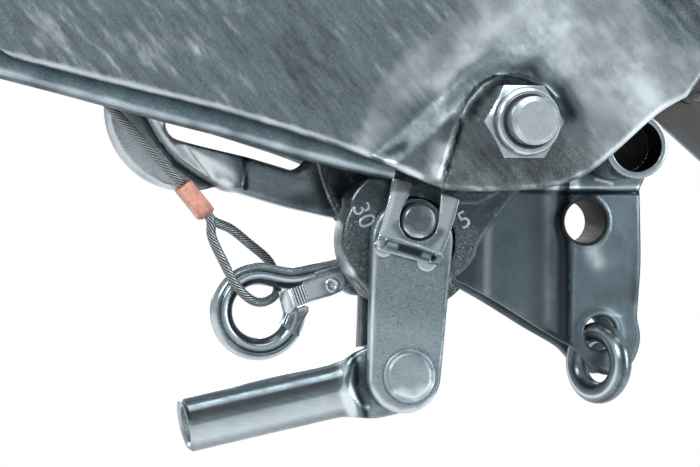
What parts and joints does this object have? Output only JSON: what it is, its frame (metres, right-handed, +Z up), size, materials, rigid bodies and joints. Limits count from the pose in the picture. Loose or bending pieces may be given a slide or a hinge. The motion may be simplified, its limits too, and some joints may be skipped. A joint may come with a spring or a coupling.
{
  "type": "trailer overrun coupling",
  "caption": "Overrun coupling with pressed housing, sliding ball head, reversing lever, handbrake, folding handle on a numbered arm and a breakaway cable on a snap hook.",
  "frame": {"origin": "centre of the ball cup in the coupling head", "axes": "+X to the rear of the trailer along the sliding tube, +Z up, -Y the left side"},
  "size_m": [0.6517, 0.152, 0.2462],
  "materials": {
    "zinc_sheet": "zinc plated pressed sheet",
    "zinc_forging": "zinc plated forging with a rough skin",
    "zinc_turned": "bright zinc plated turned steel",
    "zinc_cast": "galvanised casting",
    "wire_rope": "twisted steel wire",
    "copper": "pressed copper sleeve",
    "tube_steel": "drawn sliding tube with a light oil film",
    "gaiter_rubber": "moulded rubber bellows",
    "bush_plastic": "sliding bush",
    "grip_plastic": "moulded grip",
    "damper_black": "satin painted"
  },
  "bodies": {
    "housing": {"side_plate_left": "zinc_sheet", "side_plate_right": "zinc_sheet", "inner_channel": "zinc_sheet", "bearing_front": "zinc_cast", "bearing_rear": "zinc_cast", "bush_front": "bush_plastic", "bush_rear": "bush_plastic", "grease_nipples": "zinc_turned", "rod_bracket": "zinc_sheet", "bracket_pin": "zinc_turned", "slotted_arm": "zinc_forging", "quadrant": "zinc_sheet", "hook_pin": "zinc_turned", "snap_hook": "zinc_forging", "gate_rivet": "zinc_turned", "breakaway_cable": "wire_rope", "cable_ferrule": "copper", "cable_anchor": "zinc_turned", "gaiter": "gaiter_rubber", "ratchet_segment": "zinc_sheet", "ratchet_stay": "zinc_turned", "pivot_nut": "zinc_turned", "pivot_bolt": "zinc_turned", "pivot_washers": "zinc_turned", "pivot_sleeve": "zinc_turned", "damper_rod": "zinc_turned", "damper_pin": "zinc_turned"},
    "head": {"draw_tube": "tube_steel", "coupling_head": "zinc_cast", "head_bolts": "zinc_turned", "head_nuts": "zinc_turned", "damper_cylinder": "damper_black", "handle_pin": "zinc_turned", "latch_pin": "zinc_turned"},
    "coupling_handle": {"coupling_handle": "zinc_sheet"},
    "latch": {"ball_latch": "zinc_cast"},
    "reversing_lever": {"reversing_lever": "zinc_sheet", "lever_pipe": "zinc_sheet"},
    "ring": {"ring_link": "zinc_forging"},
    "swing_arm": {"swing_arm": "zinc_forging", "clevis_pin": "zinc_turned", "pin_clip": "zinc_sheet"},
    "link": {"link_plate_front": "zinc_sheet", "link_plate_back": "zinc_sheet", "handle_rivet": "zinc_turned"},
    "folding_handle": {"handle_tube": "zinc_sheet"},
    "gate": {"hook_gate": "zinc_sheet"},
    "handbrake": {"handbrake_lever": "zinc_sheet", "handbrake_grip": "grip_plastic", "pawl_pin": "zinc_turned"},
    "pawl": {"pawl": "zinc_sheet"},
    "button": {"release_button": "grip_plastic"}
  },
  "joints": [
    {"name": "overrun_slide", "type": "slide", "parent": "housing", "child": "head", "axis": [1, 0, 0], "range_m": [0, 0.04], "stiffness_N_per_m": 2500, "springref_m": -0.02, "deforming": ["gaiter"]},
    {"name": "reversing_hinge", "type": "hinge", "parent": "housing", "child": "reversing_lever", "pos_m": [0.43, 0, -0.052], "axis": [0, 1, 0], "range_deg": [0, 36]},
    {"name": "ring_swing", "type": "hinge", "parent": "reversing_lever", "child": "ring", "pos_m": [0.4738, -0.00625, -0.1235], "axis": [0.4695, 0.8829, 0], "range_deg": [-12, 12]},
    {"name": "swing_arm_hinge", "type": "hinge", "parent": "housing", "child": "swing_arm", "pos_m": [0.43, -0.031, -0.052], "axis": [0, -1, 0], "range_deg": [0, 22]},
    {"name": "link_hinge", "type": "hinge", "parent": "swing_arm", "child": "link", "pos_m": [0.3982, -0.031, -0.0847], "axis": [0, -1, 0], "range_deg": [-6, 10]},
    {"name": "folding_handle_hinge", "type": "hinge", "parent": "link", "child": "folding_handle", "pos_m": [0.3952, -0.0309, -0.1365], "axis": [0, 1, 0], "range_deg": [-70, 6]},
    {"name": "gate_hinge", "type": "hinge", "parent": "housing", "child": "gate", "pos_m": [0.3741, -0.0195, -0.1064], "axis": [0, 1, 0], "range_deg": [-28, 0], "stiffness_Nm_per_rad": 0.02, "springref_deg": 5.73},
    {"name": "coupling_handle_hinge", "type": "hinge", "parent": "head", "child": "coupling_handle", "pos_m": [-0.006, 0, 0.052], "axis": [0, -1, 0], "range_deg": [0, 45], "stiffness_Nm_per_rad": 1.2, "springref_deg": -28.65},
    {"name": "latch_hinge", "type": "hinge", "parent": "head", "child": "latch", "pos_m": [0.038, 0, 0.018], "axis": [0, -1, 0], "range_deg": [0, 14]},
    {"name": "handbrake_hinge", "type": "hinge", "parent": "housing", "child": "handbrake", "pos_m": [0.43, 0.0605, -0.052], "axis": [0, 1, 0], "range_deg": [0, 75]},
    {"name": "button_slide", "type": "slide", "parent": "handbrake", "child": "button", "axis": [0.9563, 0, -0.2924], "range_m": [-0.0018, 0.0028], "stiffness_N_per_m": 900, "springref_m": -0.004},
    {"name": "pawl_hinge", "type": "hinge", "parent": "handbrake", "child": "pawl", "pos_m": [0.35395, 0.06, -0.03806], "axis": [0, 1, 0], "range_deg": [-8.2, 12.8]}
  ],
  "couplings": [
    {"joint": "reversing_hinge", "follows": "overrun_slide", "rad_per_m": 15.621},
    {"joint": "latch_hinge", "follows": "coupling_handle_hinge", "ratio": 0.3},
    {"joint": "pawl_hinge", "follows": "button_slide", "rad_per_m": 79}
  ]
}
